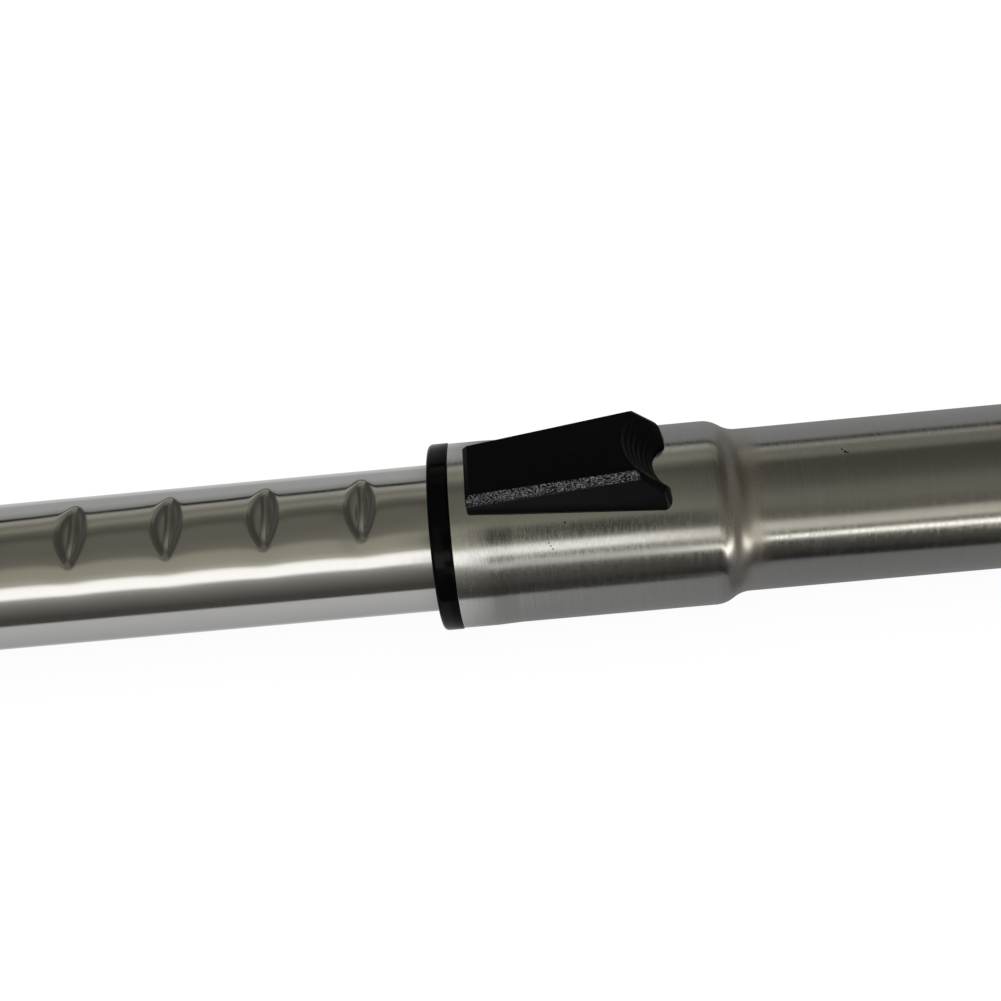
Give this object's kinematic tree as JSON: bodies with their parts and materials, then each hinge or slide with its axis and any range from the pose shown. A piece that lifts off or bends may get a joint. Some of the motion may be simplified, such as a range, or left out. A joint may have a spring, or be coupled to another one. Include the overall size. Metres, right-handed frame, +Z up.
{
  "type": "telescopic vacuum wand",
  "caption": "Telescopic steel vacuum wand: a notched inner tube slides in a wider outer tube and locks with a thumb slider behind a black end ring.",
  "frame": {"origin": "on the tubes' axis, in the mouth of the handle socket, at the upper end of the outer tube", "axes": "+X out of the handle socket along the tubes, so the wand lies towards -X; +Z up through the middle of the button; +Y to the wand's other side"},
  "size_m": [0.7075, 0.0406, 0.0509],
  "materials": {
    "brushed_tube": "brushed round the tube",
    "polished_tube": "polished",
    "ring_plastic": "glossy black",
    "button_plastic": "satin black with a grained side strip",
    "cage_plastic": "matt black",
    "collar_plastic": "natural white",
    "seal_rubber": "soft black",
    "seal_felt": "grey felt",
    "spring_steel": "drawn wire and strip",
    "lock_steel": "zinc plated"
  },
  "bodies": {
    "outer": {"outer_tube": "brushed_tube", "guide_sleeve": "ring_plastic", "wiper_ring": "seal_rubber", "felt_seal": "seal_felt", "brake_spring": "spring_steel", "roller_cage": "cage_plastic", "return_spring_front": "spring_steel", "return_spring_back": "spring_steel"},
    "inner": {"inner_tube": "polished_tube", "collar_half_front": "collar_plastic", "collar_half_back": "collar_plastic", "tail_seal": "seal_rubber"},
    "slider": {"slider_button": "button_plastic", "lock_slide": "lock_steel"},
    "roller": {"lock_roller": "lock_steel", "lock_pin": "lock_steel"}
  },
  "joints": [
    {"name": "tube_slide", "type": "slide", "parent": "outer", "child": "inner", "axis": [-1, 0, 0], "range_m": [-0.1233, 0.2466]},
    {"name": "slider_slide", "type": "slide", "parent": "outer", "child": "slider", "axis": [-1, 0, 0], "range_m": [0, 0.0033], "stiffness_N_per_m": 1200, "springref_m": -0.004, "deforming": ["return_spring_front", "return_spring_back"]},
    {"name": "roller_lift", "type": "slide", "parent": "outer", "child": "roller", "axis": [0, 0, 1], "range_m": [0, 0.00166]}
  ],
  "couplings": [
    {"joint": "roller_lift", "follows": "slider_slide", "ratio": 0.50134}
  ]
}
